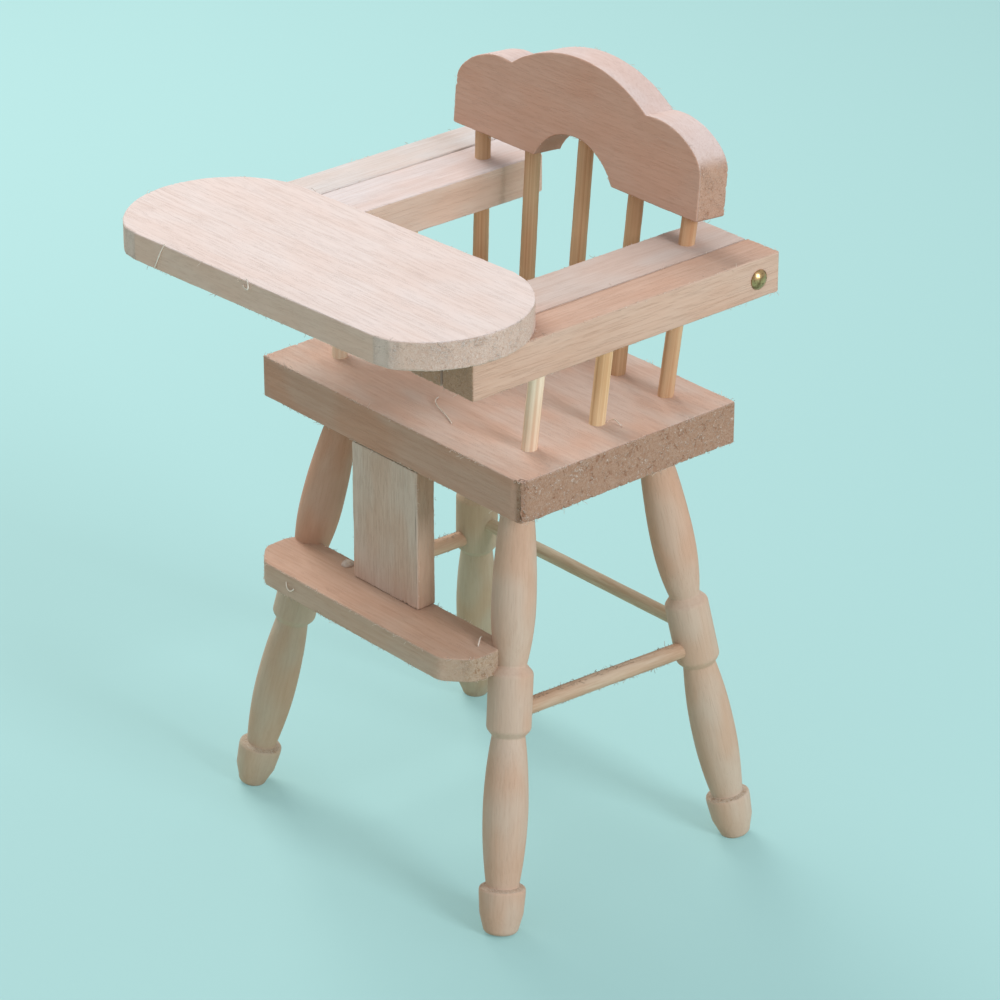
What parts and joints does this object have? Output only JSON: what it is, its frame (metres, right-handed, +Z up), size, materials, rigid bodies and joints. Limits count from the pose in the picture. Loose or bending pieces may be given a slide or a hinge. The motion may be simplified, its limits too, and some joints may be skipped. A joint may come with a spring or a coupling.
{
  "type": "doll's high chair",
  "caption": "Doll's wooden high chair: splayed turned legs, footrest, spindle back with a cloud-shaped crest rail, and a tray on two bars that swings up and over the back on brass pins.",
  "frame": {"origin": "on the floor, under the middle of the chair's outline", "axes": "+Z up; the front, with the tray and the footrest, faces -Y; +X to the right as seen from the front"},
  "size_m": [0.0538, 0.053, 0.0889],
  "materials": {
    "board_wood": "bare, sanded",
    "leg_wood": "bare, turned",
    "spindle_wood": "bare, streaked",
    "pin_brass": "plain"
  },
  "bodies": {
    "chair": {"seat": "board_wood", "front_left_leg": "leg_wood", "front_right_leg": "leg_wood", "rear_left_leg": "leg_wood", "rear_right_leg": "leg_wood", "left_stretcher": "leg_wood", "right_stretcher": "leg_wood", "rear_stretcher": "leg_wood", "footrest": "board_wood", "footrest_panel": "board_wood", "left_outer_back_spindle": "spindle_wood", "left_inner_back_spindle": "spindle_wood", "centre_back_spindle": "spindle_wood", "right_inner_back_spindle": "spindle_wood", "right_outer_back_spindle": "spindle_wood", "left_front_arm_spindle": "spindle_wood", "left_middle_arm_spindle": "spindle_wood", "right_front_arm_spindle": "spindle_wood", "right_middle_arm_spindle": "spindle_wood", "left_fixed_arm": "board_wood", "right_fixed_arm": "board_wood", "crest_rail": "board_wood", "left_hinge_pin": "pin_brass", "right_hinge_pin": "pin_brass"},
    "tray_frame": {"tray": "board_wood", "left_tray_arm": "board_wood", "right_tray_arm": "board_wood"}
  },
  "joints": [
    {"name": "tray_lift", "type": "hinge", "parent": "chair", "child": "tray_frame", "pos_m": [0, 0.0234, 0.06988], "axis": [-1, 0, 0], "range_deg": [0, 259]}
  ]
}
